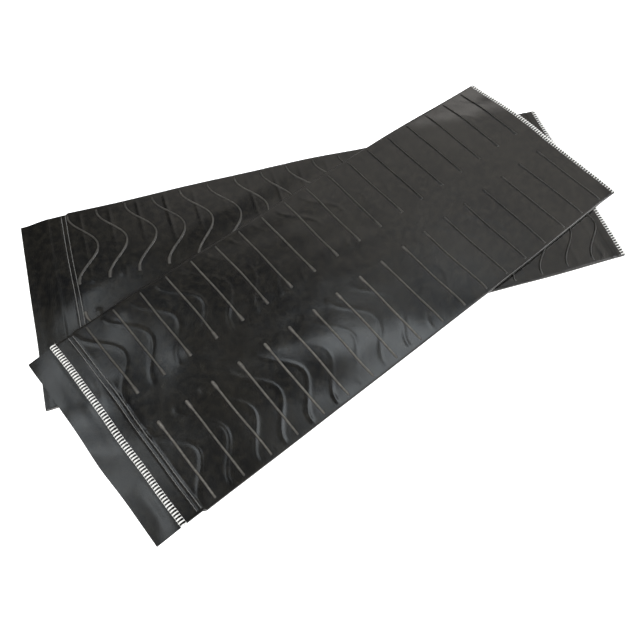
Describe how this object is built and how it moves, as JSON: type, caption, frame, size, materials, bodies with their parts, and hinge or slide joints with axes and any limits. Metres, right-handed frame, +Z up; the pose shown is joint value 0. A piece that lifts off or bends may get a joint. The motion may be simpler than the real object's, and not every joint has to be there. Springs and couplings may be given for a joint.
{
  "type": "ribbed rubber mat pair",
  "caption": "Flat black rubber mat lying across its twin. Each is a bonded sleeve, straight-ribbed on one face and wavy-ribbed on the other, with white overlocked ends and a closing flap.",
  "frame": {"origin": "on the surface the pair lies on, under the centre of the pair's outline", "axes": "+X along the lower mat's long side, away from its flap; +Z up; the upper mat is turned 22.15 degrees anticlockwise from the lower one, seen from above"},
  "size_m": [0.7305, 0.4906, 0.0123],
  "materials": {
    "black_rubber": "satin black rubber with a soft sheen",
    "white_thread": "bulky white overlock thread",
    "black_thread": "black sewing thread"
  },
  "bodies": {
    "lower_mat": {"lower_straight_sheet": "black_rubber", "lower_wavy_sheet": "black_rubber", "lower_lip_upper_looper": "white_thread", "lower_lip_lower_looper": "white_thread", "lower_lip_needle_thread": "white_thread", "lower_end_upper_looper": "white_thread", "lower_end_lower_looper": "white_thread", "lower_end_needle_thread": "white_thread", "lower_outer_seam_needle_thread": "black_thread", "lower_outer_seam_bobbin_thread": "black_thread", "lower_inner_seam_needle_thread": "black_thread", "lower_inner_seam_bobbin_thread": "black_thread"},
    "upper_mat": {"upper_straight_sheet": "black_rubber", "upper_wavy_sheet": "black_rubber", "upper_lip_upper_looper": "white_thread", "upper_lip_lower_looper": "white_thread", "upper_lip_needle_thread": "white_thread", "upper_end_upper_looper": "white_thread", "upper_end_lower_looper": "white_thread", "upper_end_needle_thread": "white_thread", "upper_outer_seam_needle_thread": "black_thread", "upper_outer_seam_bobbin_thread": "black_thread", "upper_inner_seam_needle_thread": "black_thread", "upper_inner_seam_bobbin_thread": "black_thread"},
    "upper_flap": {"upper_flap": "black_rubber"}
  },
  "joints": [
    {"name": "upper_mat_lift", "type": "slide", "parent": "lower_mat", "child": "upper_mat", "axis": [0, 0, 1], "range_m": [0, 0.15]},
    {"name": "upper_flap_fold", "type": "hinge", "parent": "upper_mat", "child": "upper_flap", "pos_m": [-0.29347, -0.11946, 0.0107], "axis": [-0.377, 0.9262, 0], "range_deg": [0, 175]}
  ]
}
